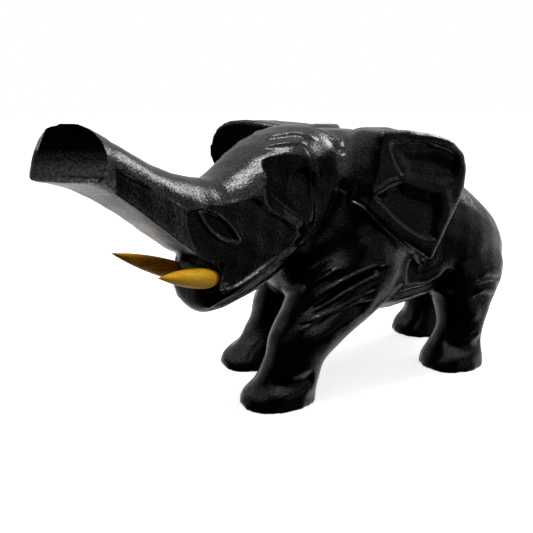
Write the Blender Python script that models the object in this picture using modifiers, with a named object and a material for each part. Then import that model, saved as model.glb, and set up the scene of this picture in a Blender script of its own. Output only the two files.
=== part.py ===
"""Carved wooden elephant: one block of blackened wood with two tusk pegs glued into blind sockets.

All shapes are worked out in millimetres in a working frame: the origin is on the ground between the
four feet, -X is the way the elephant walks, -Y is its left side and +Z is up.  The head and the trunk
have a frame of their own, turned to the elephant's left about a point in the neck.  At the end every
piece is scaled to metres and moved, so that the origin is the middle of the underside of the figure.
"""
import math

import bmesh
import bpy
from mathutils import Matrix, Vector

MM = 0.001

# Driving dimensions, in millimetres and degrees
HEAD_PIVOT = Vector((-22.0, 0.0, 0.0))
HEAD_TURN = 20.0
HEAD_TILT = 0.07
RING_POINTS = 28
STEPS_PER_STATION = 4
VOXEL = 1.25
SMOOTH_PASSES = 3
BODY_TRIANGLES = 9000
SHARP_ANGLE = 50.0
MERGE_DISTANCE = 0.00005

TUSK_RADIUS = 3.3
TUSK_TAPER = 2.4
TUSK_SHOULDER = 0.2
TUSK_SPREAD = 10.0
TUSK_RINGS = 12
TUSK_SIDES = 24
TENON_RADIUS = 2.6
SOCKET_DEPTH = 7.0
FIT_GAP = 0.3

TRUNK_END = (102.6, 5.5, 94.0)
TRUNK_END_TURN = 38.0
TRUNK_END_PITCH = 18.0
TRUNK_GOUGE_RADIUS = 15.0
TRUNK_GOUGE_DEPTH = 2.6
TRUNK_CHEEK_EDGE = (0.0, -6.0, -7.0)
TRUNK_CHEEK_FACING = (0.637, -0.694, 0.336)

TEMPLE = (32.0, 29.0, 85.0)
TEMPLE_RADII = (18.0, 15.5, 23.0)
TEMPLE_LEAN = 32.0

LEFT = 1.0
RIGHT = -1.0
TUSK_ROOT = {LEFT: (56.4, 8.7, 54.0), RIGHT: (54.5, 8.7, 50.8)}
TUSK_LENGTH = {LEFT: 24.0, RIGHT: 26.3}
TUSK_RISE = {LEFT: 14.0, RIGHT: 23.0}

EAR_TOP = 97.5
NEAR_EAR_INNER = -18.0
NEAR_EAR_OUTER = -33.0
NEAR_EAR_SLANT = -0.02
FAR_EAR_ROOT = (-1.0, -16.0)
FAR_EAR_OUTWARD = (0.36, -0.93)
FAR_EAR_REACH = 33.0
FAR_EAR_EDGE = 6.0
FAR_EAR_BACK = (6.0, 30.0)


def clear_scene():
    for item in list(bpy.data.objects):
        bpy.data.objects.remove(item, do_unlink=True)


def new_collection(name):
    collection = bpy.data.collections.new(name)
    bpy.context.scene.collection.children.link(collection)
    return collection


def head_axes(turn=0.0):
    """Forward and left directions of the head, turned further to the left by turn degrees."""
    angle = math.radians(HEAD_TURN + turn)
    forward = Vector((-math.cos(angle), -math.sin(angle), 0.0))
    left = Vector((math.sin(angle), -math.cos(angle), 0.0))
    return forward, left


def head_point(ahead, left_by, height):
    """A point of the head frame in the working frame."""
    forward, left = head_axes()
    return HEAD_PIVOT + forward * ahead + left * left_by + Vector((0.0, 0.0, height - left_by * HEAD_TILT))


# ---------------------------------------------------------------- lofts

def curve_through(stations, steps):
    """Catmull-Rom values between stations, each a tuple of numbers."""
    last = len(stations) - 1
    result = []
    for index in range(last):
        before = stations[max(index - 1, 0)]
        start = stations[index]
        end = stations[index + 1]
        after = stations[min(index + 2, last)]
        for step in range(steps):
            t = step / steps
            row = []
            for a, b, c, d in zip(before, start, end, after):
                bend = (2 * a - 5 * b + 4 * c - d) * t ** 2 + (3 * b - a - 3 * c + d) * t ** 3
                row.append(b + 0.5 * ((c - a) * t + bend))
            result.append(row)
    result.append(list(stations[last]))
    return result


def section_ring(centre, turn, pitch, half_width, rise, drop, top_power=2.0, low_power=2.0):
    """Points around one cross-section, square to a path that heads by turn and climbs by pitch."""
    yaw = math.radians(turn)
    climb = math.radians(pitch)
    forward = Vector((-math.cos(yaw) * math.cos(climb), -math.sin(yaw) * math.cos(climb), math.sin(climb)))
    left = Vector((math.sin(yaw), -math.cos(yaw), 0.0))
    up = forward.cross(left)
    points = []
    for index in range(RING_POINTS):
        angle = 2 * math.pi * index / RING_POINTS
        across, along = math.cos(angle), math.sin(angle)
        power = top_power if along >= 0 else low_power
        reach = rise if along >= 0 else drop
        side = math.copysign(abs(across) ** (2 / power), across) * half_width
        height = math.copysign(abs(along) ** (2 / power), along) * reach
        points.append(centre + left * side + up * height)
    return points


def add_loft(mesh, rings):
    """Skin a row of rings and close both ends."""
    rows = [[mesh.verts.new(point) for point in ring] for ring in rings]
    for lower, upper in zip(rows, rows[1:]):
        for index in range(RING_POINTS):
            following = (index + 1) % RING_POINTS
            mesh.faces.new((lower[index], lower[following], upper[following], upper[index]))
    mesh.faces.new(rows[0][::-1])
    mesh.faces.new(rows[-1])


def add_path_loft(mesh, stations, placed):
    """Loft through stations of (three place values, turn, pitch, half width, rise, drop, powers)."""
    rings = []
    for row in curve_through(stations, STEPS_PER_STATION):
        centre = placed(*row[0:3])
        rings.append(section_ring(centre, *row[3:]))
    add_loft(mesh, rings)


def ground_point(x, y, z):
    return Vector((x, y, z))


# ---------------------------------------------------------------- the carved block

def add_torso(mesh):
    """Chest to rump: x, y, z, turn, pitch, half width, rise, drop, powers."""
    stations = [
        (-46, -2, 62, 0, 0, 8, 10, 10, 2.0, 2.0),
        (-42, -2, 63, 0, 0, 17, 20, 20, 2.2, 2.2),
        (-30, 0, 64, 0, 0, 22, 32, 33, 2.4, 2.6),
        (-12, 0, 64, 0, 0, 26, 33.3, 37.5, 2.4, 2.8),
        (8, 0, 62, 0, 0, 26, 32.5, 37, 2.3, 2.8),
        (26, 0, 58, 0, 0, 26, 29, 30, 2.2, 2.6),
        (44, 0, 52, 0, 0, 26, 23, 22, 2.1, 2.2),
        (58, 0, 47, 0, 0, 21, 18, 17, 2.0, 2.0),
        (67, 0, 43, 0, 0, 12, 11, 12, 2.0, 2.0),
        (70, 0, 42, 0, 0, 4, 4, 5, 2.0, 2.0),
    ]
    add_path_loft(mesh, stations, ground_point)


def add_leg(mesh, stations):
    """A leg from inside the body down through the sole: x, y, z, half width, ahead, behind."""
    rows = [(x, y, z, 0, -90, half, ahead, behind, 2.3, 2.3) for x, y, z, half, ahead, behind in stations]
    add_path_loft(mesh, rows, ground_point)


def add_legs(mesh):
    add_leg(mesh, [
        (-2, -18, 80, 13, 16, 18),
        (-4, -18, 66, 14.5, 19, 17),
        (-10, -18, 52, 14.5, 21, 20),
        (-17, -18, 41, 14, 21, 22.5),
        (-24, -18, 33, 12.5, 18.5, 22),
        (-31, -18.5, 25, 11, 16, 15.5),
        (-36, -18, 16, 9.5, 13, 10.5),
        (-39.5, -17, 8, 10.5, 13, 11.5),
        (-42, -16, 3, 11.5, 15, 13.5),
        (-42, -16, -3, 11.5, 15.5, 13.5),
    ])
    add_leg(mesh, [
        (-2, 18, 80, 13, 16, 18),
        (-4, 18, 66, 14, 18, 16),
        (-10, 18, 52, 14, 23, 18),
        (-15, 18, 41, 13, 21.5, 18),
        (-21, 18.5, 33, 12, 14, 16),
        (-27, 19, 25, 10.5, 9, 12.5),
        (-30, 19, 16, 9.5, 8.5, 10.5),
        (-33.5, 19, 8, 10.5, 12.5, 11.5),
        (-36, 19, 3, 11.5, 15, 13.5),
        (-36, 19, -3, 11.5, 15, 13.5),
    ])
    for x, y in ((0, -1), (13, 1)):
        add_leg(mesh, [
            (0.5 * x + 40, 11 * y, 52, 14, 18, 20),
            (0.7 * x + 43, 14 * y, 40, 13.5, 18, 19),
            (x + 43.5, 16.5 * y, 28, 11, 14, 11.8),
            (x + 42, 18 * y, 16, 9.5, 10.5, 7.6),
            (x + 39.5, 18 * y, 7, 10.5, 12.5, 10.8),
            (x + 38.5, 18 * y, 3, 11.5, 14, 12.6),
            (x + 38.5, 18 * y, -3, 11.5, 14, 12.8),
        ])


def add_head(mesh):
    """Skull and trunk in one sweep: ahead, left, height, turn, pitch, half width, rise, drop."""
    turn = HEAD_TURN
    stations = [
        (2.5, 0, 84, turn, 0, 17.5, 13, 11, 2.4, 3.0),
        (4, 0, 83.5, turn, 0, 18.6, 15, 12, 2.4, 4.0),
        (12, 0, 81.5, turn, 0, 19, 17.5, 15, 2.4, 5.0),
        (22, 0, 79.5, turn, 2, 18.8, 17.5, 17, 2.4, 6.0),
        (34, 0, 76, turn, 6, 17.5, 16.5, 18, 2.3, 6.0),
        (44, 0, 73, turn, 14, 15.5, 15, 17.5, 2.2, 6.0),
        (55, 0, 71.5, turn, 24, 13, 13.5, 12.8, 2.1, 5.0),
        (67, 0.3, 76.5, turn + 2, 33, 11.3, 10.8, 9.2, 2.0, 5.0),
        (78, 1, 83, turn + 8, 36, 10.3, 8.6, 7.6, 2.0, 6.0),
        (88, 2, 89, turn + 17, 30, 10.2, 8.0, 7.0, 2.0, 7.0),
        (99, 4.2, 93.4, turn + 27, 18, 9.9, 7.8, 6.8, 2.5, 7.0),
        (108, 8.5, 95.6, turn + 32, 14, 10.0, 8.4, 7.0, 3.0, 7.0),
    ]
    add_path_loft(mesh, stations, head_point)


def add_jaw(mesh):
    """Lower jaw: wide under the cheeks, drawn in to a narrow chin and a rounded lip."""
    turn = HEAD_TURN
    stations = [
        (6, 0, 67, turn, 0, 10, 4, 8, 2.2, 1.7),
        (20, 0, 62, turn, 0, 16, 5, 12, 3.0, 1.7),
        (34, 0, 57, turn, 0, 16.5, 6, 13.5, 4.0, 1.8),
        (46, 0, 54, turn, 0, 15.5, 7, 13.5, 4.0, 1.9),
        (53, 0, 52, turn, 0, 13.6, 6.5, 12.3, 4.0, 2.0),
        (56.5, 0, 51, turn, 0, 11.8, 5.5, 10.8, 4.0, 2.0),
        (58.5, 0, 50.5, turn, 0, 9.6, 4.5, 8.6, 3.0, 2.0),
        (59.7, 0, 50, turn, 0, 6, 3, 5, 2.6, 2.0),
    ]
    add_path_loft(mesh, stations, head_point)


def add_neck(mesh):
    """The neck behind the head and the rolls of skin in front of the ears."""
    stations = [
        (16, 0, 74, HEAD_TURN, 0, 12, 16, 20, 2.2, 2.2),
        (4, 0, 74, HEAD_TURN, 0, 14, 17, 24, 2.2, 2.2),
        (-6, 0, 72, HEAD_TURN * 0.6, 0, 17, 20, 30, 2.2, 2.2),
        (-22, 0, 68, HEAD_TURN * 0.3, 0, 24, 24, 30, 2.2, 2.2),
    ]
    add_path_loft(mesh, stations, head_point)
    for side in (-1, 1):
        add_leg(mesh, [
            (-6, 16 * side, 98, 6, 4, 6),
            (-8, 20 * side, 95.5, 10.5, 7.5, 9),
            (-11, 22.5 * side, 86, 10.5, 8.5, 9),
            (-14, 22.5 * side, 74, 10, 8.5, 9),
            (-18, 20 * side, 60, 9, 8, 9),
        ])


def add_slab(mesh, outline, inner, outer):
    """A flat carved slab: outline points pushed from the inner to the outer map."""
    low = [mesh.verts.new(inner(*point)) for point in outline]
    high = [mesh.verts.new(outer(*point)) for point in outline]
    count = len(outline)
    for index in range(count):
        following = (index + 1) % count
        mesh.faces.new((low[index], low[following], high[following], high[index]))
    mesh.faces.new(low[::-1])
    mesh.faces.new(high)


def add_ears(mesh):
    """The near ear swept back along the shoulder and the far ear flared out from the neck."""
    near = [(-14, EAR_TOP), (-2, EAR_TOP), (9, 96), (17, 93.5), (22.5, 89), (24.5, 83), (24, 76), (19, 65),
            (11, 50), (-4, 61), (-19, 72)]

    def near_inner(back, height):
        return Vector((back, NEAR_EAR_INNER, height))

    def near_outer(back, height):
        return Vector((back, NEAR_EAR_OUTER + NEAR_EAR_SLANT * back, height))

    far = [(-4, 96.5), (8, 97.3), (18, 97.5), (25, 96.3), (30, 92.8), (33, 87), (33, 80), (28, 67), (18, 54),
           (6, 56), (-4, 62)]

    def far_front(out, height):
        ahead, left_by = (start + step * out for start, step in zip(FAR_EAR_ROOT, FAR_EAR_OUTWARD))
        return head_point(ahead, left_by, height)

    def far_back(out, height):
        """From just behind the free edge, back to where the ear dies into the shoulder."""
        tip = far_front(FAR_EAR_REACH, height) + Vector((FAR_EAR_EDGE, 0.0, 0.0))
        shoulder = Vector((*FAR_EAR_BACK, height))
        return shoulder.lerp(tip, max(out, 0.0) / FAR_EAR_REACH)

    add_slab(mesh, near, near_inner, near_outer)
    add_slab(mesh, far, far_back, far_front)


def add_tail(mesh):
    """Tail in low relief down the middle of the rump."""
    add_leg(mesh, [
        (57, 0, 64, 3, 4, 3),
        (64, 0, 57, 2.6, 4, 3.2),
        (69, 0, 46, 2.4, 4, 3.2),
        (69.5, 0, 36, 2.4, 4, 3.4),
        (66, 0, 29, 3.2, 5, 4),
        (63, 0, 25, 1.5, 3, 2),
    ])


def joined_mesh(build):
    """Run the build functions into separate closed shells of one mesh."""
    mesh = bmesh.new()
    for step in build:
        step(mesh)
    bmesh.ops.recalc_face_normals(mesh, faces=mesh.faces)
    data = bpy.data.meshes.new("carved_body")
    mesh.to_mesh(data)
    mesh.free()
    return data


def apply_modifier(item, kind, **settings):
    modifier = item.modifiers.new(kind.title(), kind)
    for name, value in settings.items():
        setattr(modifier, name, value)
    graph = bpy.context.evaluated_depsgraph_get()
    data = bpy.data.meshes.new_from_object(item.evaluated_get(graph))
    item.modifiers.clear()
    item.data = data


def head_matrix(place, turn, pitch):
    """Axes at a head-frame place: X ahead, Y left and Z up, turned to the left and raised."""
    forward, left = head_axes(turn)
    climb = math.radians(pitch)
    ahead = forward * math.cos(climb) + Vector((0.0, 0.0, math.sin(climb)))
    up = ahead.cross(left)
    matrix = Matrix((ahead, left, up)).transposed().to_4x4()
    matrix.translation = head_point(*place)
    return matrix


def cutter_object(name, mesh, collection):
    data = bpy.data.meshes.new(name)
    bmesh.ops.recalc_face_normals(mesh, faces=mesh.faces)
    mesh.to_mesh(data)
    mesh.free()
    item = bpy.data.objects.new(name, data)
    item.hide_render = True
    item.display_type = "WIRE"
    collection.objects.link(item)
    return item


def sole_cutter(collection):
    """Everything below the ground plane."""
    mesh = bmesh.new()
    below = Matrix.Translation((0, 0, -20)) @ Matrix.Diagonal((300, 300, 40, 1))
    bmesh.ops.create_cube(mesh, size=1.0, matrix=below)
    return cutter_object("sole_cutter", mesh, collection)


def trunk_cutter(collection):
    """A lying drum that ends the trunk in a shallow scoop."""
    half_height = math.sqrt(2 * TRUNK_GOUGE_RADIUS * TRUNK_GOUGE_DEPTH - TRUNK_GOUGE_DEPTH ** 2)
    reach = math.sqrt(TRUNK_GOUGE_RADIUS ** 2 - half_height ** 2)
    place = head_matrix(TRUNK_END, TRUNK_END_TURN, TRUNK_END_PITCH)
    lying = Matrix.Translation((reach, 0, 0)) @ Matrix.Rotation(math.radians(90), 4, "X")
    mesh = bmesh.new()
    bmesh.ops.create_cone(mesh, cap_ends=True, segments=48, radius1=TRUNK_GOUGE_RADIUS,
                          radius2=TRUNK_GOUGE_RADIUS, depth=60, matrix=place @ lying)
    return cutter_object("trunk_cutter", mesh, collection)


def trunk_cheek_cutter(collection):
    """A slanting block that takes the far corner off the end of the trunk."""
    facing = Vector(TRUNK_CHEEK_FACING).normalized()
    across = facing.orthogonal().normalized()
    slanted = Matrix((facing, across, facing.cross(across))).transposed().to_4x4()
    slanted.translation = Vector(TRUNK_CHEEK_EDGE)
    place = head_matrix(TRUNK_END, TRUNK_END_TURN, TRUNK_END_PITCH)
    size = 40
    ahead_of_face = Matrix.Translation((size / 2, 0, 0))
    mesh = bmesh.new()
    bmesh.ops.create_cube(mesh, size=size, matrix=place @ slanted @ ahead_of_face)
    return cutter_object("trunk_cheek_cutter", mesh, collection)


def temple_cutter(collection, side):
    """An egg that hollows the temple on one side of the head."""
    ahead, out, height = TEMPLE
    place = head_matrix((ahead, out * side, height), 0, 0)
    egg = Matrix.Rotation(math.radians(TEMPLE_LEAN), 4, "Y") @ Matrix.Diagonal((*TEMPLE_RADII, 1))
    mesh = bmesh.new()
    bmesh.ops.create_uvsphere(mesh, u_segments=24, v_segments=16, radius=1.0, matrix=place @ egg)
    return cutter_object("temple_cutter", mesh, collection)


def tusk_matrix(side):
    """Axes of a tusk: origin where it leaves the wood, X along it towards the tip."""
    ahead, out, height = TUSK_ROOT[side]
    return head_matrix((ahead, out * side, height), TUSK_SPREAD * side, TUSK_RISE[side])


def round_cutter(name, collection, side, start, end, radius):
    """A round bar along a tusk's axis, from start to end."""
    middle = Matrix.Translation(((start + end) / 2, 0, 0))
    lying = middle @ Matrix.Rotation(math.radians(90), 4, "Y")
    mesh = bmesh.new()
    bmesh.ops.create_cone(mesh, cap_ends=True, segments=32, radius1=radius, radius2=radius,
                          depth=end - start, matrix=tusk_matrix(side) @ lying)
    return cutter_object(name, mesh, collection)


def socket_cutters(collection, side):
    """A blind bore for the tenon, and the room that the thicker tusk needs in front of it."""
    length = TUSK_LENGTH[side]
    return [
        round_cutter("socket_bore", collection, side, -SOCKET_DEPTH - FIT_GAP, length, TENON_RADIUS + FIT_GAP),
        round_cutter("socket_mouth", collection, side, 0.0, length, TUSK_RADIUS + FIT_GAP),
    ]


def make_body(collection, cutters):
    """Join the lofts into one block, then cut the soles, the trunk's scoop, temples and sockets."""
    body = bpy.data.objects.new("carved_body", joined_mesh([
        add_torso, add_legs, add_head, add_jaw, add_neck, add_ears, add_tail]))
    collection.objects.link(body)
    apply_modifier(body, "REMESH", mode="VOXEL", voxel_size=VOXEL)
    apply_modifier(body, "SMOOTH", factor=0.5, iterations=SMOOTH_PASSES)
    triangles = 2 * len(body.data.polygons)
    apply_modifier(body, "DECIMATE", ratio=BODY_TRIANGLES / triangles)
    cuts = [sole_cutter(cutters), trunk_cutter(cutters), trunk_cheek_cutter(cutters)]
    for side in (LEFT, RIGHT):
        cuts.append(temple_cutter(cutters, side))
        cuts.extend(socket_cutters(cutters, side))
    for cut in cuts:
        apply_modifier(body, "BOOLEAN", operation="DIFFERENCE", solver="EXACT", object=cut)
    body.data.transform(Matrix.Scale(MM, 4))
    body.data.shade_smooth()
    body.data.set_sharp_from_angle(angle=math.radians(SHARP_ANGLE))
    return body


def tusk_radius(along):
    """Radius from the wood (0) to the tip (1): a rounded shoulder, then a long taper."""
    radius = TUSK_RADIUS * (1 - along ** TUSK_TAPER)
    inside = max(TUSK_SHOULDER - along, 0.0) / TUSK_SHOULDER
    return radius * math.sqrt(1 - inside ** 2 * (1 - (TENON_RADIUS / TUSK_RADIUS) ** 2))


def make_tusk(collection, name, side):
    """A turned peg that swells from its tenon and tapers to a point, set in its socket."""
    length = TUSK_LENGTH[side]
    profile = [(0.0, length)]
    for step in range(1, TUSK_RINGS + 1):
        along = 1 - step / TUSK_RINGS
        profile.append((tusk_radius(along), length * along))
    profile.append((TENON_RADIUS, -SOCKET_DEPTH))
    profile.append((0.0, -SOCKET_DEPTH))
    mesh = bmesh.new()
    dots = [mesh.verts.new((radius * MM, 0, along * MM)) for radius, along in profile]
    for first, second in zip(dots, dots[1:]):
        mesh.edges.new((first, second))
    data = bpy.data.meshes.new(name)
    mesh.to_mesh(data)
    mesh.free()
    tusk = bpy.data.objects.new(name, data)
    placed = tusk_matrix(side) @ Matrix.Rotation(math.radians(90), 4, "Y")
    placed.translation = placed.translation * MM
    tusk.matrix_world = placed
    collection.objects.link(tusk)
    screw = tusk.modifiers.new("Turned", "SCREW")
    screw.steps = TUSK_SIDES
    screw.render_steps = TUSK_SIDES
    screw.use_merge_vertices = True
    screw.merge_threshold = MERGE_DISTANCE
    screw.use_smooth_shade = True
    return tusk


def principled(name, color, roughness, coat):
    material = bpy.data.materials.new(name)
    material.use_nodes = True
    shader = material.node_tree.nodes["Principled BSDF"]
    shader.inputs["Base Color"].default_value = (*color, 1.0)
    shader.inputs["Roughness"].default_value = roughness
    shader.inputs["Metallic"].default_value = 0.0
    shader.inputs["Coat Weight"].default_value = coat
    return material


def centre_on_ground(body, others):
    """Move everything so that the middle of the block's box stands over the origin."""
    places = [vertex.co for vertex in body.data.vertices]
    middle = Vector((0.0, 0.0, 0.0))
    for axis in (0, 1):
        values = [place[axis] for place in places]
        middle[axis] = (min(values) + max(values)) / 2
    body.data.transform(Matrix.Translation(-middle))
    for item in others:
        item.matrix_world = Matrix.Translation(-middle) @ item.matrix_world


clear_scene()
figure = new_collection("carved_elephant")
cutters = new_collection("cutters")
body = make_body(figure, cutters)
tusk_left = make_tusk(figure, "tusk_left", LEFT)
tusk_right = make_tusk(figure, "tusk_right", RIGHT)
body.data.materials.append(principled("blackened_wood", (0.012, 0.011, 0.011), 0.3, 0.4))
for tusk in (tusk_left, tusk_right):
    tusk.data.materials.append(principled(f"{tusk.name}_bone", (0.70, 0.38, 0.05), 0.35, 0.2))
centre_on_ground(body, (tusk_left, tusk_right))
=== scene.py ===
"""Looks of the carved wooden elephant: finely carved black wood, two polished tusks, studio and camera.

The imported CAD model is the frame.  The block of wood is copied from its CAD solid, refined and then
carved further with knife strokes, hollows and steps.  Carving is laid out in millimetres in the CAD's
working frame: the origin is on the ground between the feet, -X is ahead, -Y is the elephant's left.
Places on the head use a frame turned with the head: ahead, out to the left, and height.
"""
import math

import bmesh
import bpy
import numpy as np
from mathutils import Matrix, Vector


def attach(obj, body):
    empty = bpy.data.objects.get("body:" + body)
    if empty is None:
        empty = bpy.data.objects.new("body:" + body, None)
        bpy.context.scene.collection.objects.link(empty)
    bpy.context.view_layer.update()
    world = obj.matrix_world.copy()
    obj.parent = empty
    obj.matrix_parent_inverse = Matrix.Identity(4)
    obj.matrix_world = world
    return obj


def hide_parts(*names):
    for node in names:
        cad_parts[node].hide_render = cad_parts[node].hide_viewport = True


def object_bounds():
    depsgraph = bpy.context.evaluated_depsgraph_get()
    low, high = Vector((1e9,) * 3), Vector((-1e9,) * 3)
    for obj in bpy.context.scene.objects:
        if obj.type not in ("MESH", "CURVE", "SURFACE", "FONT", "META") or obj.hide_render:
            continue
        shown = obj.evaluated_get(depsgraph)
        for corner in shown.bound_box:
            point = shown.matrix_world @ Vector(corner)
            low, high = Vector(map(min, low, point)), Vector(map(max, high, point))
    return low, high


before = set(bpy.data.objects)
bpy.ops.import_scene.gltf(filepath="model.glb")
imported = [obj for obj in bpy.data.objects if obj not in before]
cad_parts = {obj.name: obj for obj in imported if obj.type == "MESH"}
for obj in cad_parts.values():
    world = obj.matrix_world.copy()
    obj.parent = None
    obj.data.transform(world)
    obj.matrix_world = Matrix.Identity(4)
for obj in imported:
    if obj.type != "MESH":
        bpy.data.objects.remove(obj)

CAD_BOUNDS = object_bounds()

MM = 0.001
FEET_CENTRE = np.array((24.924, 2.766, 0.0))
HEAD_PIVOT = np.array((-22.0, 0.0, 0.0))
HEAD_TURN = math.radians(20)
HEAD_TILT = 0.07
UP = np.array((0.0, 0.0, 1.0))
HEAD_AHEAD = np.array((-math.cos(HEAD_TURN), -math.sin(HEAD_TURN), 0.0))
HEAD_LEFT = np.array((math.sin(HEAD_TURN), -math.cos(HEAD_TURN), 0.0))
LEFT = 1.0
RIGHT = -1.0

# The fine skin: size of its cells, and passes that take the facets out without shrinking it.
VOXEL = 1.1
FACET_PASSES = 14
EASE_IN = 0.60
EASE_OUT = -0.63
NORMAL_PASSES = 12
NORMAL_SHARE = 0.8

# Carving: longest edge and margin of each finer pass, and how the cuts are eased.
FINE_PASSES = ((0.8, 2.6), (0.42, 1.7))
DEEPEST_FACET = 9.0
LEAST_CUT = 0.05
CUT_SHARE = 0.5
CUT_PASSES = 1
WAVE_LENGTHS = (23.0, 17.0, 13.0, 9.5, 7.5)
WAVE_DEPTH = 0.45
FAR_EAR_SHIFT = -20.0
FAR_FOLD_SHARE = 0.55
NEAR_ROLL = 0.75
FAR_ROLL = 0.3

# The crease between ear and neck that is melted away: a line, a radius and passes.
NECK_LINE = ((-19.0, -25.0, 86.0), (-31.0, -22.0, 62.0))
NECK_RADIUS = 10.0
NECK_PASSES = 40
SOFTEN_SHARE = 0.6
SHARP_ANGLE = 50

# The cut end of the trunk, in the head frame, with turn and pitch in degrees.
TRUNK_END = (102.6, 5.5, 94.0)
TRUNK_END_TURN = 38.0
TRUNK_END_PITCH = 18.0
TRUNK_GOUGE_RADIUS = 15.0
TRUNK_GOUGE_DEPTH = 2.6
TRUNK_CHEEK_EDGE = (0.0, -5.6, -7.0)
TRUNK_CHEEK_FACING = (0.66, -0.72, 0.155)
TRUNK_END_GROWTH = 2.5
TRUNK_END_FLARE = 0.6
CUTTER_SIZE = 40

# Colours of the wood, the glue specks by the near socket and the tusks, light and dark; the tusks' brown where they
# leave the wood is painted shade, and the far tusk's darker tones are partly painted shade and partly stain.
WOOD_BLACK = (0.0022, 0.0020, 0.0019)
WOOD_WORN = (0.0085, 0.0042, 0.0034)
GLUE_COLOR = (0.24, 0.20, 0.14)
GLUE_PLACE = (54.0, 12.2, 51.6)
TUSK_TIP_COLOR = (0.16, 0.045, 0.012)
# Brown where a tusk leaves the wood: painted shade at the socket.
TUSK_ROOT_SHADE = (0.20, 0.06, 0.01)
TENON_SHARE = 0.22
# The far tusk (tusk_right) is painted darker than the near one: partly painted shade from the trunk above it, partly
# stain.
TUSK_COLORS_AND_FAR_SHADE = {
    "tusk_left": ((0.90, 0.50, 0.012), (0.72, 0.36, 0.006)),
    "tusk_right": ((0.90, 0.42, 0.020), (0.55, 0.21, 0.010)),
}

CAMERA_PLACE = (-133.6, -196.7, 107.0)
CAMERA_HEADING = (0.43, 0.903, 0.0)
CAMERA_PITCH = 15.5
CAMERA_LENS = 40.53
SENSOR_WIDTH = 36
NEAREST_SEEN = 0.005

# What the polished wood mirrors.  Each range is the cosine from a direction over which it rises.
WORLD_BRIGHT = 0.48
FLOOR_BRIGHT = 0.8
WORLD_DARK = 0.002
WORLD_TOP = 0.65
BRIGHT_SIDE = (0.5, 0.86, 0.0)
SIDE_RANGE = (-0.24, 0.22)
TOP_RANGE = (0.24, 0.75)
FILLS = (
    ((0.41, -0.87, 0.0), (0.88, 0.96), 0.16),
    ((0.906, -0.423, 0.0), (0.92, 0.97), 0.30),
)
DARK_CARD = (-0.87, 0.45, -0.2)
CARD_RANGE = (0.62, 0.90)
CARD_SHARE = 0.3
FLOOR_HALF_WIDTH = 5.0
FLOOR_GLOW = 0.72

# Lamps in metres and watts: name, place, target, size and power.
SOFT_BOXES = (
    ("key", (-0.05, 0.0, 0.60), (-0.05, 0.0, 0.06), (0.30, 0.25), 2.1),
    ("side", (0.46, 0.08, 0.36), (-0.06, 0.0, 0.08), (0.34, 0.26), 1.6),
)


def smooth_step(value, low, high):
    """Rises from 0 at low to 1 at high with level ends."""
    ratio = np.clip((value - low) / (high - low), 0.0, 1.0)
    return ratio * ratio * (3 - 2 * ratio)


def new_object(name, data):
    item = bpy.data.objects.new(name, data)
    bpy.context.scene.collection.objects.link(item)
    return item


# ---------------------------------------------------------------- places and paths

def head_places(places, side):
    """Ahead, out and height in the head frame, with out counted away from the middle on a side."""
    offset = places - HEAD_PIVOT
    left = offset @ HEAD_LEFT
    return offset @ HEAD_AHEAD, left * side, offset[:, 2] + left * HEAD_TILT


def flank_places(places, side):
    """Back, out and height along the body, with out counted away from the middle on a side."""
    return places[:, 0], -places[:, 1] * side, places[:, 2]


def outward(on_head, side):
    """Direction away from the middle on a side."""
    return HEAD_LEFT * side if on_head else np.array((0.0, -side, 0.0))


def path_distance(x, y, path):
    """Distance to a polyline, side of it (positive to the left) and how far along it, from 0 to 1."""
    best = np.full(len(x), 1e9)
    side = np.zeros(len(x))
    along = np.zeros(len(x))
    points = [np.array(point, dtype=float) for point in path]
    lengths = [np.linalg.norm(b - a) for a, b in zip(points, points[1:])]
    passed = 0.0
    for start, end, length in zip(points, points[1:], lengths):
        direction = (end - start) / length
        dx, dy = x - start[0], y - start[1]
        reach = np.clip(dx * direction[0] + dy * direction[1], 0, length)
        distance = np.hypot(dx - reach * direction[0], dy - reach * direction[1])
        nearer = distance < best
        best = np.where(nearer, distance, best)
        side = np.where(nearer, np.sign(direction[0] * dy - direction[1] * dx), side)
        along = np.where(nearer, (passed + reach) / sum(lengths), along)
        passed += length
    return best, side, along


def smooth_path(points, closed=False, steps=6):
    """Catmull-Rom curve through a few points."""
    count = len(points)
    rows = [np.array(point, dtype=float) for point in points]
    result = []
    for index in range(count if closed else count - 1):
        if closed:
            a, b, c, d = (rows[(index + shift) % count] for shift in (-1, 0, 1, 2))
        else:
            a, b = rows[max(index - 1, 0)], rows[index]
            c, d = rows[index + 1], rows[min(index + 2, count - 1)]
        for step in range(steps):
            t = step / steps
            bend = (2 * a - 5 * b + 4 * c - d) * t ** 2 + (3 * b - a - 3 * c + d) * t ** 3
            result.append(b + 0.5 * ((c - a) * t + bend))
    result.append(rows[0] if closed else rows[-1])
    return result


def inside_distance(x, y, outline):
    """Distance to a closed outline, positive inside it."""
    distance, _, _ = path_distance(x, y, outline)
    inside = np.zeros(len(x), dtype=bool)
    for (x0, y0), (x1, y1) in zip(outline, outline[1:]):
        if y0 == y1:
            continue
        crossing = (y0 > y) != (y1 > y)
        inside ^= crossing & (x < (x1 - x0) * (y - y0) / (y1 - y0) + x0)
    return np.where(inside, distance, -distance)


# ---------------------------------------------------------------- carving

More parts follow.
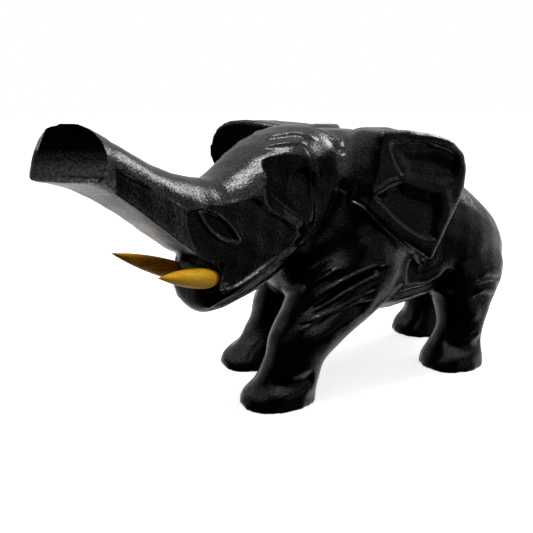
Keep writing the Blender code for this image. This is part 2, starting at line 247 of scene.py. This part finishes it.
class Stroke:
    """One carved feature: a path on one side of the head or of the body, and how it is cut.

    A hollow sinks inside a closed path and a groove follows a path; a ridge stands proud along it.
    A step drops on the left of the path and fades out again.  A facet brings the skin inside a closed
    path to a plane: the outward level at one place, and its slopes.  Seen from above, height is out.
    """

    def __init__(self, points, kind, depth, width, fade=0.0, on_head=False, closed=False, side=LEFT, curved=True,
                 least_out=12.0, taper=0.0, end_depth=None, fine=True, plane=None, from_above=False):
        self.path = smooth_path(points, closed) if curved else points + points[:1] * closed
        self.kind = kind
        self.depth = depth
        self.width = width
        self.fade = fade
        self.on_head = on_head
        self.side = side
        self.least_out = least_out
        self.taper = taper
        self.end_depth = depth if end_depth is None else end_depth
        self.fine = fine
        self.plane = plane
        self.from_above = from_above
        self.facing = UP if from_above else outward(on_head, side)
        self.low = np.min(self.path, axis=0)
        self.high = np.max(self.path, axis=0)

    def chosen(self, places, margin):
        """Indices, flat coordinates and outward distance of the places in reach of the path."""
        x, out, y = (head_places if self.on_head else flank_places)(places, self.side)
        if self.from_above:
            out, y = y, out
        low, high = self.low - margin, self.high + margin
        inside = (x > low[0]) & (x < high[0]) & (y > low[1]) & (y < high[1]) & (out > self.least_out - 1)
        index = np.nonzero(inside)[0]
        return index, x[index], y[index], out[index]

    def near(self, places, margin):
        """Which places lie close enough to the path to need a finer mesh."""
        index, x, y, _ = self.chosen(places, margin)
        near = np.zeros(len(places), dtype=bool)
        if len(index):
            near[index] = path_distance(x, y, self.path)[0] < margin
        return near

    def shift(self, places, normals):
        """How each place moves: facets along the direction they face, all others along the normals."""
        total = np.zeros((len(places), 3))
        index, x, y, out = self.chosen(places, max(self.width, self.fade))
        if not len(index):
            return total
        turned = normals[index] @ self.facing
        kept = smooth_step(out, self.least_out - 1, self.least_out + 1)
        if self.kind == "facet":
            level, at, slope = self.plane
            target = level + (x - at[0]) * slope[0] + (y - at[1]) * slope[1]
            share = smooth_step(inside_distance(x, y, self.path), 0.0, self.width) * smooth_step(turned, -0.5, -0.1)
            amount = np.clip(out - target, -self.depth, DEEPEST_FACET) * share * kept
            total[index] = -amount[:, None] * self.facing
            return total
        amount = self.depth_at(x, y) * smooth_step(turned, 0.0, 0.35) * kept
        total[index] = -amount[:, None] * normals[index]
        return total

    def depth_at(self, x, y):
        distance, hand, along = path_distance(x, y, self.path)
        if self.kind == "hollow":
            amount = self.depth * smooth_step(inside_distance(x, y, self.path), 0.0, self.width)
        elif self.kind == "groove":
            amount = self.depth * smooth_step(self.width / 2 - distance, 0, self.width / 2)
        elif self.kind == "ridge":
            amount = -self.depth * (1 - smooth_step(distance, 0, self.width))
        else:
            rise = smooth_step(distance, 0.0, self.width)
            fall = 1 - smooth_step(distance, self.width, self.fade)
            depth = self.depth + (self.end_depth - self.depth) * along
            amount = depth * rise * fall * (hand > 0)
        if self.taper:
            amount = amount * smooth_step(along, 0.0, self.taper) * (1 - smooth_step(along, 1 - self.taper, 1.0))
        return amount


def head_strokes(side):
    """Mask edge, temple, brow and eye on one side of the head: ahead and height."""
    edge = [(58, 43), (54.5, 47), (49, 50), (43, 53.5), (36, 56.5), (27, 59), (18, 63), (13, 71), (10, 78.5), (8, 85),
            (7.5, 91), (8, 96), (9, 99)]
    eye_top = [(62.6, 77), (59.6, 76.3), (55.6, 74.3), (51.3, 70.3), (48.2, 65.4)]
    eye_low = [(48.2, 65.4), (52.6, 65.8), (56.6, 68.2), (60.1, 72), (62.6, 77)]
    temple = [(37, 86), (35, 90.5), (30, 94), (25, 94.6), (20, 93.4), (19.3, 86), (18.4, 78), (17.8, 69), (19.5, 66.8),
              (26, 70.8), (32, 75.8), (36, 80)]
    cheek = [(44, 79.2), (40, 76.6), (32, 71.5), (26, 66.8), (23, 64.4), (28, 61), (36, 57.8), (43, 54.4),
             (49.5, 51.4), (56, 51), (62, 60), (66, 68), (67, 77.2), (59, 78), (53, 78.4)]
    roll = NEAR_ROLL if side == LEFT else FAR_ROLL
    trunk = [(57, 57.8), (64, 62.4), (70, 66.8), (80, 75.6), (90, 84), (90, 92), (80, 86), (70, 80), (62, 75),
             (58, 66)]

    def stroke(points, kind, depth, width, **more):
        return Stroke(points, kind, depth, width, on_head=True, side=side, least_out=more.pop("least_out", 4), **more)

    return [
        stroke(edge[4:9], "step", 0.8, 1.0, fade=5.0, end_depth=1.6, least_out=7),
        stroke(edge[:5], "step", 0.3, 0.8, fade=5.0, end_depth=0.8, least_out=7),
        stroke(trunk, "facet", 6.0, 0.8, closed=True, curved=False, least_out=2,
               plane=(11.3, (74, 76), (-0.05, 0.0))),
        stroke(temple, "facet", 0.3, 1.6, closed=True, plane=(13.9, (28, 82), (-0.55, -0.05))),
        stroke(cheek, "facet", 0.7, 1.0, closed=True, plane=(14.5, (42, 66), (-0.19, 0.0))),
        stroke(edge[:9], "ridge", 0.3, 1.6, least_out=7),
        stroke([(6.0, -1), (5.6, 7), (4.8, 13), (4.5, 17)], "groove", 1.5, 5.0, from_above=True, least_out=88),
        stroke([(27, 1.5), (25.7, 3.3), (23, 6.3), (18.7, 9.1), (15.8, 12.3), (12, 14)], "ridge", roll, 1.6,
               taper=0.2, from_above=True, least_out=88),
        stroke([(31, 6), (29.4, 7.8), (25.1, 11), (20.8, 13.2), (18, 14.5)], "ridge", roll, 1.3, taper=0.2,
               from_above=True, least_out=86),
        stroke(eye_top[:-1] + eye_low[:-1], "hollow", 0.55, 0.9, closed=True, curved=False),
        stroke(eye_top, "ridge", 0.30, 0.7, taper=0.05),
        stroke(eye_low, "ridge", 0.30, 0.7, taper=0.05),
    ]


def ear_strokes(side, shift=0.0):
    """Two hollows and an incised lower line on an ear: back and height."""
    upper = [(-10.6, 93.8), (-8.6, 87.5), (-4, 81), (1.5, 79), (9.5, 77), (16, 76.5), (21, 78.5), (22, 83),
             (20.5, 87.5), (15.6, 90.3), (9, 92.4), (2.8, 93.5), (-4.6, 94)]
    leaf = [(-4, 80.4), (-9, 79.5), (-15.3, 76), (-10, 70.5), (-3.7, 65.2), (1.2, 62), (5.8, 59.6), (12.2, 58),
            (13.5, 63), (14, 69.3), (12.6, 74), (9.5, 76), (2.8, 78)]
    lower = [(13, 47.5), (11, 49.5), (-2, 58.8), (-12.5, 67), (-21, 74.5)]

    def stroke(points, kind, depth, width, **more):
        moved = [(back + shift, height) for back, height in points]
        return Stroke(moved, kind, depth, width, side=side, least_out=20, **more)

    return [
        stroke(lower, "groove", 0.8, 1.4),
        stroke([(x - 0.6, z - 1.0) for x, z in lower], "step", 1.3, 0.8, fade=9, taper=0.1),
        stroke(upper, "hollow", 1.8, 6.5, closed=True, fine=False),
        stroke(upper[-3:] + upper[:3], "step", 0.8, 0.8, fade=4, taper=0.1),
        stroke(upper[8:] + upper[:1], "step", 0.7, 0.8, fade=4, taper=0.1),
        stroke([(18, 92), (9, 94.6), (-4, 95.8)], "ridge", 0.3, 0.9, taper=0.1),
        stroke(leaf, "hollow", 1.4, 4.5, closed=True, fine=False),
        stroke(leaf[:3], "step", 0.9, 0.8, fade=4, taper=0.06),
        stroke(leaf[2:8], "step", 0.9, 0.8, fade=4, taper=0.06),
        stroke([(x - 0.9, z + 1.5) for x, z in leaf[:3]], "groove", 0.4, 1.2, taper=0.1),
        stroke([(9, 77), (14, 75.5), (16, 69), (15, 62)], "ridge", 0.5, 3.0, taper=0.2, fine=False),
    ]


def fold_strokes(side):
    """Folds of skin over the elbow, the belly and the rump, and the knee: back and height."""
    first = [(-8, 52), (-15.7, 51.2), (-24.6, 47.6), (-32.3, 42.8), (-37, 38.4), (-39.5, 35)]
    middle = [(-12, 43.6), (-22.2, 40), (-28.6, 36.9), (-35.3, 34), (-41, 32.4)]
    last = [(-12, 39.6), (-18.8, 38.8), (-28.6, 35.4), (-37.3, 31.4), (-41.5, 28)]
    share = 1.0 if side == LEFT else FAR_FOLD_SHARE

    def stroke(points, kind, depth, width, **more):
        return Stroke(points, kind, depth * share, width, side=side, **more)

    between = [(-9.5, 48.5), (-17, 46.5), (-25, 43), (-32, 39), (-37.5, 36)]
    line = [(-25, 52), (-30.5, 48.5), (-36, 43.5)]
    streaks = [[(x - shift, z - shift) for x, z in line] for shift in (0, 1.5)]

    return [
        *(stroke(streak, "ridge", 0.7, 1.0, taper=0.3) for streak in streaks),
        stroke([(-11, 50.4), (-19, 48.4), (-27, 44.6), (-33.5, 40)], "groove", 1.0, 2.4, taper=0.2),
        stroke(between, "ridge", 0.9, 1.7, taper=0.15),
        stroke([(-50, 11), (-42, 10), (-33, 11)], "groove", 1.8, 9.0, taper=0.15, fine=False),
        stroke([(29, 11), (38, 10), (48, 11)], "groove", 1.6, 9.0, taper=0.15, fine=False),
        stroke(first, "step", 2.6, 1.0, fade=7.0, taper=0.22),
        stroke(first, "ridge", 0.6, 1.1, taper=0.2),
        stroke(middle, "step", 1.6, 0.8, fade=4.0, taper=0.3),
        stroke(middle, "ridge", 0.5, 1.0, taper=0.3),
        stroke(last, "step", 1.9, 0.9, fade=6.0, taper=0.3),
        stroke(last, "ridge", 0.6, 1.2, taper=0.25),
        stroke([(-22, 53), (-31, 49), (-38, 41)], "ridge", 0.6, 4.0, taper=0.25, fine=False),
        stroke([(0, 43.5), (10, 40.5), (18, 40.5), (26, 45)], "ridge", 1.2, 4.5, taper=0.2, fine=False),
        stroke([(2, 35), (12, 35.5), (24, 37)], "groove", 0.8, 5.0, taper=0.2, fine=False),
        stroke([(29, 44), (29, 38), (30.5, 32)], "groove", 1.6, 9.0, taper=0.2, fine=False),
        stroke([(39, 40.5), (47, 41.5), (56, 40)], "ridge", 0.9, 3.2, taper=0.25, least_out=8, fine=False),
        stroke([(38, 33.5), (45, 34.5), (53, 33)], "ridge", 0.9, 3.2, taper=0.25, least_out=8, fine=False),
        stroke([(37, 37.2), (47, 38), (57, 36)], "groove", 0.7, 3.0, taper=0.25, least_out=8),
        stroke([(37, 30.5), (45, 31), (53, 29)], "groove", 0.7, 3.0, taper=0.25, least_out=8),
        stroke([(33, 29), (38, 25), (40, 20)], "ridge", 0.8, 6.0, taper=0.3, fine=False),
        stroke([(31, 15.5), (37, 14), (44, 15)], "groove", 0.8, 6.0, taper=0.25, fine=False),
    ]


def read_places(data):
    flat = np.empty(len(data.vertices) * 3)
    data.vertices.foreach_get("co", flat)
    return flat.reshape(-1, 3) / MM - FEET_CENTRE


def read_normals(data):
    flat = np.empty(len(data.vertices) * 3)
    data.vertices.foreach_get("normal", flat)
    return flat.reshape(-1, 3)


def write_places(data, places):
    data.vertices.foreach_set("co", ((places + FEET_CENTRE) * MM).ravel())
    data.update()


def edge_pairs(data):
    pairs = np.empty(len(data.edges) * 2, dtype=np.int32)
    data.edges.foreach_get("vertices", pairs)
    return pairs.reshape(-1, 2)


def eased(rows, pairs, share):
    """Move each row of values part of the way to the mean of its neighbours."""
    ends = np.concatenate((pairs, pairs[:, ::-1]))
    count = np.bincount(ends[:, 0], minlength=len(rows))
    columns = [np.bincount(ends[:, 0], weights=rows[ends[:, 1], axis], minlength=len(rows)) for axis in range(3)]
    means = np.stack(columns, axis=1) / np.maximum(count, 1)[:, None]
    return rows + share * (means - rows)


def without_facets(item):
    """Smooth the skin, pushing back out after every pass so that the shape doesn't shrink."""
    places = read_places(item.data)
    pairs = edge_pairs(item.data)
    for _ in range(FACET_PASSES):
        places = eased(eased(places, pairs, EASE_IN), pairs, EASE_OUT)
    write_places(item.data, places)


def even_normals(item):
    """Normals of the skin without its fine unevenness."""
    normals = read_normals(item.data)
    pairs = edge_pairs(item.data)
    for _ in range(NORMAL_PASSES):
        normals = eased(normals, pairs, NORMAL_SHARE)
    return normals / np.linalg.norm(normals, axis=1)[:, None]


def refine(item, strokes):
    """Split the edges near the strokes until they are fine enough to hold them."""
    for longest, margin in FINE_PASSES:
        data = item.data
        ends = read_places(data)[edge_pairs(data)]
        middles = ends.mean(axis=1)
        wanted = np.zeros(len(middles), dtype=bool)
        for stroke in strokes:
            if stroke.fine:
                wanted |= stroke.near(middles, margin)
        wanted &= np.linalg.norm(ends[:, 0] - ends[:, 1], axis=1) > longest
        mesh = bmesh.new()
        mesh.from_mesh(data)
        mesh.edges.ensure_lookup_table()
        chosen = [mesh.edges[index] for index in np.nonzero(wanted)[0]]
        bmesh.ops.subdivide_edges(mesh, edges=chosen, cuts=1, use_grid_fill=True)
        bmesh.ops.triangulate(mesh, faces=[face for face in mesh.faces if len(face.verts) > 4])
        mesh.to_mesh(data)
        mesh.free()


def knife_waves(places):
    """Slow uneven waves that a knife leaves, never standing proud of the block."""
    total = np.zeros(len(places))
    for turn, wavelength in enumerate(WAVE_LENGTHS):
        direction = np.array((math.cos(2.4 * turn), math.sin(2.4 * turn), math.cos(1.7 * turn + 1)))
        total += np.sin(places @ direction * 2 * math.pi / wavelength + 5 * turn)
    still = smooth_step(places[:, 2], 0.5, 3.0)
    return WAVE_DEPTH * still * (1 + total / len(WAVE_LENGTHS)) / 2


def carve(item, strokes):
    """Move places by every stroke in turn, by the uncut surface's normals, then ease the cuts a little."""
    uncut = read_places(item.data)
    normals = even_normals(item)
    places = uncut.copy()
    for stroke in strokes:
        places += stroke.shift(places, normals)
    touched = np.linalg.norm(places - uncut, axis=1) > LEAST_CUT
    places -= normals * knife_waves(uncut)[:, None]
    low, high = (np.array(corner) / MM - FEET_CENTRE for corner in CAD_BOUNDS)
    write_places(item.data, np.clip(places, low, high))
    ease = item.vertex_groups.new(name="ease")
    for index in np.nonzero(touched)[0]:
        ease.add([int(index)], 1.0, "REPLACE")
    bake(item, "SMOOTH", factor=CUT_SHARE, iterations=CUT_PASSES, vertex_group="ease")


def soften(item, start, end, radius, passes):
    """Melt creases around a line, away from its ends."""
    start, end = np.array(start), np.array(end)
    places = read_places(item.data)
    pairs = edge_pairs(item.data)
    axis = (end - start) / np.linalg.norm(end - start)
    reach = np.clip((places - start) @ axis, 0, np.linalg.norm(end - start))
    distance = np.linalg.norm(places - start - reach[:, None] * axis, axis=1)
    share = (1 - smooth_step(distance, radius * 0.6, radius))[:, None]
    for _ in range(passes):
        places += (eased(places, pairs, SOFTEN_SHARE) - places) * share
    write_places(item.data, places)


# ---------------------------------------------------------------- the wooden block

def bake(item, kind, **settings):
    """Apply one modifier."""
    modifier = item.modifiers.new(kind.title(), kind)
    for name, value in settings.items():
        setattr(modifier, name, value)
    graph = bpy.context.evaluated_depsgraph_get()
    data = bpy.data.meshes.new_from_object(item.evaluated_get(graph))
    item.modifiers.clear()
    item.data = data


def fine_block():
    """The CAD block as a fine even skin without its facets."""
    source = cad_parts["carved_body"]
    block = new_object("carved_wood", source.data.copy())
    bake(block, "REMESH", mode="VOXEL", voxel_size=VOXEL * MM)
    without_facets(block)
    return block


def head_matrix(place, turn, pitch):
    """Axes at a head place: X ahead, Y left and Z up, turned further left and raised, in metres."""
    yaw = HEAD_TURN + math.radians(turn)
    climb = math.radians(pitch)
    forward = Vector((-math.cos(yaw) * math.cos(climb), -math.sin(yaw) * math.cos(climb), math.sin(climb)))
    left = Vector((math.sin(yaw), -math.cos(yaw), 0.0))
    matrix = Matrix((forward, left, forward.cross(left))).transposed().to_4x4()
    ahead, out, height = place
    point = HEAD_PIVOT + HEAD_AHEAD * ahead + HEAD_LEFT * out + UP * (height - out * HEAD_TILT)
    matrix.translation = Vector((point + FEET_CENTRE) * MM)
    return matrix


def cut_away(block, mesh):
    """Take the space of a closed mesh out of the block."""
    data = bpy.data.meshes.new("cutter")
    mesh.to_mesh(data)
    mesh.free()
    cutter = new_object("cutter", data)
    bake(block, "BOOLEAN", operation="DIFFERENCE", solver="EXACT", object=cutter)
    bpy.data.objects.remove(cutter)


def crisp_trunk_end(block):
    """Let the rounded end of the trunk grow a little, then cut it again with clean edges."""
    place = head_matrix(TRUNK_END, TRUNK_END_TURN, TRUNK_END_PITCH)
    axes = np.array(place.to_3x3())
    direction, leftward, upward = axes.T
    facing = Vector(TRUNK_CHEEK_FACING).normalized()
    cheek = axes @ np.array(facing)
    centre = np.array(place.translation) / MM - FEET_CENTRE
    places = read_places(block.data)
    normals = even_normals(block)
    behind = np.abs((places - centre) @ direction)
    close = 1 - smooth_step(np.linalg.norm(places - centre, axis=1), 14, 16)
    ahead = smooth_step(normals @ direction, 0.1, 0.6) * close
    aside = smooth_step(normals @ cheek, 0.75, 0.95) * close
    flare = smooth_step(normals @ upward, 0.1, 0.8) * close * (1 - smooth_step(behind, 5, 14))
    flare *= smooth_step((places - centre) @ leftward, -1, 6)
    growth = direction * ahead[:, None] + cheek * aside[:, None]
    write_places(block.data, places + TRUNK_END_GROWTH * growth + TRUNK_END_FLARE * upward * flare[:, None])

    half_height = math.sqrt(2 * TRUNK_GOUGE_RADIUS * TRUNK_GOUGE_DEPTH - TRUNK_GOUGE_DEPTH ** 2)
    reach = math.sqrt(TRUNK_GOUGE_RADIUS ** 2 - half_height ** 2)
    lying = Matrix.Translation((reach * MM, 0, 0)) @ Matrix.Rotation(math.radians(90), 4, "X")
    drum = bmesh.new()
    bmesh.ops.create_cone(drum, cap_ends=True, segments=160, radius1=TRUNK_GOUGE_RADIUS * MM,
                          radius2=TRUNK_GOUGE_RADIUS * MM, depth=CUTTER_SIZE * MM, matrix=place @ lying)
    cut_away(block, drum)

    across = facing.orthogonal().normalized()
    slanted = Matrix((facing, across, facing.cross(across))).transposed().to_4x4()
    slanted.translation = Vector(TRUNK_CHEEK_EDGE) * MM
    beyond = Matrix.Translation((CUTTER_SIZE / 2 * MM, 0, 0))
    slab = bmesh.new()
    bmesh.ops.create_cube(slab, size=CUTTER_SIZE * MM, matrix=place @ slanted @ beyond)
    cut_away(block, slab)


# ---------------------------------------------------------------- materials

class Nodes:
    """Short helper for building a material's node tree."""

    def __init__(self, tree):
        self.tree = tree

    def add(self, kind, **values):
        node = self.tree.nodes.new(kind)
        for name, value in values.items():
            setattr(node, name, value)
        return node

    def link(self, source, target):
        self.tree.links.new(source, target)

    def noise(self, vector, scale, detail=3.0, rough=0.5):
        node = self.add("ShaderNodeTexNoise")
        node.inputs["Scale"].default_value = scale
        node.inputs["Detail"].default_value = detail
        node.inputs["Roughness"].default_value = rough
        self.link(vector, node.inputs["Vector"])
        return node.outputs["Fac"]

    def stretched(self, vector, scale, rotation=(0, 0, 0)):
        node = self.add("ShaderNodeMapping")
        node.inputs["Scale"].default_value = scale
        node.inputs["Rotation"].default_value = rotation
        self.link(vector, node.inputs["Vector"])
        return node.outputs["Vector"]

    def ramp(self, value, low, high, out_low=0.0, out_high=1.0):
        node = self.add("ShaderNodeMapRange", interpolation_type="SMOOTHSTEP")
        node.inputs["From Min"].default_value = low
        node.inputs["From Max"].default_value = high
        node.inputs["To Min"].default_value = out_low
        node.inputs["To Max"].default_value = out_high
        self.link(value, node.inputs["Value"])
        return node.outputs["Result"]

    def math(self, operation, first, second):
        node = self.add("ShaderNodeMath", operation=operation)
        for value, socket in ((first, node.inputs[0]), (second, node.inputs[1])):
            if isinstance(value, (int, float)):
                socket.default_value = value
            else:
                self.link(value, socket)
        return node.outputs[0]

    def mix(self, factor, first, second):
        node = self.add("ShaderNodeMix", data_type="RGBA")
        self.link(factor, node.inputs["Factor"])
        for value, socket in ((first, node.inputs[6]), (second, node.inputs[7])):
            if isinstance(value, tuple):
                socket.default_value = (*value, 1.0)
            else:
                self.link(value, socket)
        return node.outputs[2]

    def bump(self, height, strength, distance, base=None):
        node = self.add("ShaderNodeBump")
        node.inputs["Strength"].default_value = strength
        node.inputs["Distance"].default_value = distance
        self.link(height, node.inputs["Height"])
        if base is not None:
            self.link(base, node.inputs["Normal"])
        return node.outputs["Normal"]


def new_material(name):
    material = bpy.data.materials.new(name)
    material.use_nodes = True
    return material, Nodes(material.node_tree), material.node_tree.nodes["Principled BSDF"]


def black_wood():
    """Black stained wood under a thin polish: brushed streaks, open pores and faint red-brown wear."""
    material, nodes, shader = new_material("black_polished_wood")
    places = nodes.add("ShaderNodeTexCoord").outputs["Object"]
    grain = nodes.noise(nodes.stretched(places, (120, 900, 900), (0, 0.25, 0.2)), 1.0, 4.0, 0.6)
    brushed = nodes.noise(nodes.stretched(places, (260, 1500, 1500), (0, 0.5, 0.2)), 1.0, 3.0, 0.6)
    specks = nodes.noise(places, 1050, 3.0, 0.6)
    patches = nodes.noise(places, 55, 3.0, 0.55)
    worn = nodes.ramp(patches, 0.56, 0.74)
    color = nodes.mix(worn, WOOD_BLACK, WOOD_WORN)
    glue = nodes.add("ShaderNodeVectorMath", operation="DISTANCE")
    nodes.link(places, glue.inputs[0])
    glue.inputs[1].default_value = tuple(head_matrix(GLUE_PLACE, 0, 0).translation)
    crumbs = nodes.math("MULTIPLY", nodes.ramp(glue.outputs["Value"], 0.0024, 0.0012),
                        nodes.ramp(nodes.noise(places, 1300, 1.0, 0.5), 0.52, 0.60))
    color = nodes.mix(crumbs, color, GLUE_COLOR)
    nodes.link(color, shader.inputs["Base Color"])
    glints = nodes.noise(places, 1500, 2.0, 0.7)
    nodes.link(nodes.ramp(glints, 0.36, 0.64, 0.22, 0.80), shader.inputs["Specular IOR Level"])
    rough = nodes.math("ADD", nodes.ramp(patches, 0.3, 0.7, 0.11, 0.19), nodes.ramp(grain, 0.35, 0.7, -0.02, 0.04))
    nodes.link(rough, shader.inputs["Roughness"])
    shader.inputs["IOR"].default_value = 1.5
    shader.inputs["Coat Weight"].default_value = 0.0
    fine = nodes.bump(specks, 0.42, 0.0003)
    streaks = nodes.bump(brushed, 0.03, 0.00015, fine)
    lines = nodes.bump(grain, 0.05, 0.00015, streaks)
    nodes.link(lines, shader.inputs["Normal"])
    return material


def tusk_bone(name, root, tip, light, dark):
    """Polished yellow bone: fine lengthwise streaks, brown at the tip, and painted shade where it leaves the wood."""
    material, nodes, shader = new_material(name)
    places = nodes.add("ShaderNodeTexCoord").outputs["Object"]
    axis = (tip - root) / np.linalg.norm(tip - root)
    length = float(np.linalg.norm(tip - root))
    along = nodes.add("ShaderNodeVectorMath", operation="DOT_PRODUCT")
    nodes.link(places, along.inputs[0])
    along.inputs[1].default_value = tuple(axis)
    travel = nodes.math("DIVIDE", nodes.math("SUBTRACT", along.outputs["Value"], float(root @ axis)), length)
    streaks = nodes.noise(nodes.stretched(places, (180, 1300, 1300), (0, 0.2, -0.3)), 1.0, 4.0, 0.6)
    clouds = nodes.noise(places, 160, 3.0, 0.5)
    yellow = nodes.mix(nodes.ramp(streaks, 0.35, 0.68), light, dark)
    yellow = nodes.mix(nodes.ramp(clouds, 0.4, 0.75, 0.0, 0.35), yellow, dark)
    wobble = nodes.math("ADD", travel, nodes.ramp(clouds, 0.3, 0.7, -0.03, 0.03))
    tipped = nodes.mix(nodes.ramp(wobble, 0.86, 1.0), yellow, TUSK_TIP_COLOR)
    # Painted shade: brown where the tusk leaves the wood.
    root_shaded = nodes.mix(nodes.ramp(wobble, 0.10, -0.04), tipped, TUSK_ROOT_SHADE)
    nodes.link(root_shaded, shader.inputs["Base Color"])
    nodes.link(nodes.ramp(streaks, 0.3, 0.7, 0.34, 0.46), shader.inputs["Roughness"])
    shader.inputs["Specular IOR Level"].default_value = 0.15
    shader.inputs["Subsurface Weight"].default_value = 0.15
    shader.inputs["Subsurface Radius"].default_value = (0.002, 0.001, 0.0004)
    shader.inputs["Coat Weight"].default_value = 0.03
    shader.inputs["Coat Roughness"].default_value = 0.2
    nodes.link(nodes.bump(streaks, 0.2, 0.0001), shader.inputs["Normal"])
    return material


# ---------------------------------------------------------------- studio

def leaning(nodes, direction, side):
    """Cosine between a direction and a side."""
    toward = nodes.add("ShaderNodeVectorMath", operation="DOT_PRODUCT")
    nodes.link(direction, toward.inputs[0])
    toward.inputs[1].default_value = side
    return toward.outputs["Value"]


def surroundings(nodes, direction, bright):
    """Light from a direction: bright from behind and above, nearly black from the camera's side and ahead."""
    split = nodes.add("ShaderNodeSeparateXYZ")
    nodes.link(direction, split.inputs[0])
    level = nodes.ramp(leaning(nodes, direction, BRIGHT_SIDE), *SIDE_RANGE, WORLD_DARK, bright)
    card = nodes.ramp(leaning(nodes, direction, DARK_CARD), *CARD_RANGE, 1.0, CARD_SHARE)
    level = nodes.math("MULTIPLY", level, card)
    level = nodes.math("MAXIMUM", level, nodes.ramp(split.outputs["Z"], *TOP_RANGE, 0.0, WORLD_TOP))
    for side, reach, glow in FILLS:
        level = nodes.math("MAXIMUM", level, nodes.ramp(leaning(nodes, direction, side), *reach, 0.0, glow))
    return level


def studio_world():
    """White all round for the camera; in reflections as described above."""
    world = bpy.data.worlds.new("studio")
    bpy.context.scene.world = world
    world.use_nodes = True
    nodes = Nodes(world.node_tree)
    shade = world.node_tree.nodes["Background"]
    level = surroundings(nodes, nodes.add("ShaderNodeTexCoord").outputs["Generated"], WORLD_BRIGHT)
    camera_ray = nodes.add("ShaderNodeLightPath").outputs["Is Camera Ray"]
    seen = nodes.math("MULTIPLY", camera_ray, nodes.math("SUBTRACT", 1.0, level))
    nodes.link(nodes.math("ADD", level, seen), shade.inputs["Strength"])
    shade.inputs["Color"].default_value = (1, 1, 1, 1)


def studio_floor():
    """Pale paper for the camera; in reflections the floor gives back the surroundings."""
    mesh = bmesh.new()
    bmesh.ops.create_grid(mesh, x_segments=8, y_segments=8, size=FLOOR_HALF_WIDTH)
    data = bpy.data.meshes.new("floor")
    mesh.to_mesh(data)
    mesh.free()
    floor = new_object("floor", data)
    material, nodes, shader = new_material("pale_floor")
    places = nodes.add("ShaderNodeTexCoord").outputs["Object"]
    paper = nodes.noise(places, 900, 2.0, 0.5)
    nodes.link(nodes.mix(nodes.ramp(paper, 0.3, 0.7), (0.86, 0.86, 0.86), (0.88, 0.88, 0.88)),
               shader.inputs["Base Color"])
    shader.inputs["Roughness"].default_value = 0.9
    shader.inputs["Specular IOR Level"].default_value = 0.1
    shader.inputs["Emission Color"].default_value = (1, 1, 1, 1)
    shader.inputs["Emission Strength"].default_value = FLOOR_GLOW
    mirrored = nodes.add("ShaderNodeEmission")
    back = nodes.add("ShaderNodeVectorMath", operation="SCALE")
    nodes.link(nodes.add("ShaderNodeNewGeometry").outputs["Incoming"], back.inputs[0])
    back.inputs["Scale"].default_value = -1.0
    nodes.link(surroundings(nodes, back.outputs[0], FLOOR_BRIGHT), mirrored.inputs["Strength"])
    choice = nodes.add("ShaderNodeMixShader")
    nodes.link(nodes.add("ShaderNodeLightPath").outputs["Is Camera Ray"], choice.inputs["Fac"])
    nodes.link(mirrored.outputs[0], choice.inputs[1])
    nodes.link(shader.outputs[0], choice.inputs[2])
    nodes.link(choice.outputs[0], material.node_tree.nodes["Material Output"].inputs["Surface"])
    floor.data.materials.append(material)


def soft_box(name, place, target, size, power):
    """A rectangular lamp aimed at a target."""
    data = bpy.data.lights.new(name, "AREA")
    data.shape = "RECTANGLE"
    data.size, data.size_y = size
    data.energy = power
    lamp = new_object(name, data)
    lamp.location = place
    lamp.rotation_euler = (Vector(target) - Vector(place)).to_track_quat("-Z", "Y").to_euler()


def scene_camera():
    """Camera ahead and to the elephant's left, looking slightly down."""
    place = np.array(CAMERA_PLACE)
    heading = np.array(CAMERA_HEADING)
    pitch = math.radians(CAMERA_PITCH)
    heading = heading / np.linalg.norm(heading) * math.cos(pitch) - UP * math.sin(pitch)
    data = bpy.data.cameras.new("camera")
    data.sensor_width = SENSOR_WIDTH
    data.lens = CAMERA_LENS
    data.clip_start = NEAREST_SEEN
    camera = new_object("camera", data)
    forward = Vector(heading)
    right = forward.cross(Vector(UP)).normalized()
    turned = Matrix((right, right.cross(forward), -forward)).transposed().to_4x4()
    turned.translation = Vector((place + FEET_CENTRE) * MM)
    camera.matrix_world = turned
    bpy.context.scene.camera = camera


# ---------------------------------------------------------------- build

block = fine_block()
crisp_trunk_end(block)
strokes = ear_strokes(LEFT) + ear_strokes(RIGHT, FAR_EAR_SHIFT)
for hand in (LEFT, RIGHT):
    strokes += head_strokes(hand) + fold_strokes(hand)
soften(block, *NECK_LINE, NECK_RADIUS, NECK_PASSES)
refine(block, strokes)
carve(block, strokes)
block.data.validate()
block.data.shade_smooth()
block.data.set_sharp_from_angle(angle=math.radians(SHARP_ANGLE))
block.data.materials.clear()
block.data.materials.append(black_wood())
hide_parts("carved_body")
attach(block, "root")

# The far tusk's colours carry painted shade as well as stain.
for name, (light, dark) in TUSK_COLORS_AND_FAR_SHADE.items():
    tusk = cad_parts[name]
    corners = [vertex.co for vertex in tusk.data.vertices]
    tip = np.array(min(corners, key=lambda corner: corner.x))
    root = np.array(max(corners, key=lambda corner: corner.x))
    tusk.data.materials.clear()
    tusk.data.materials.append(tusk_bone(name + "_bone", root + (tip - root) * TENON_SHARE, tip, light, dark))

studio_world()
studio_floor()
for soft in SOFT_BOXES:
    soft_box(*soft)
scene_camera()
bpy.context.scene.view_settings.view_transform = "Standard"
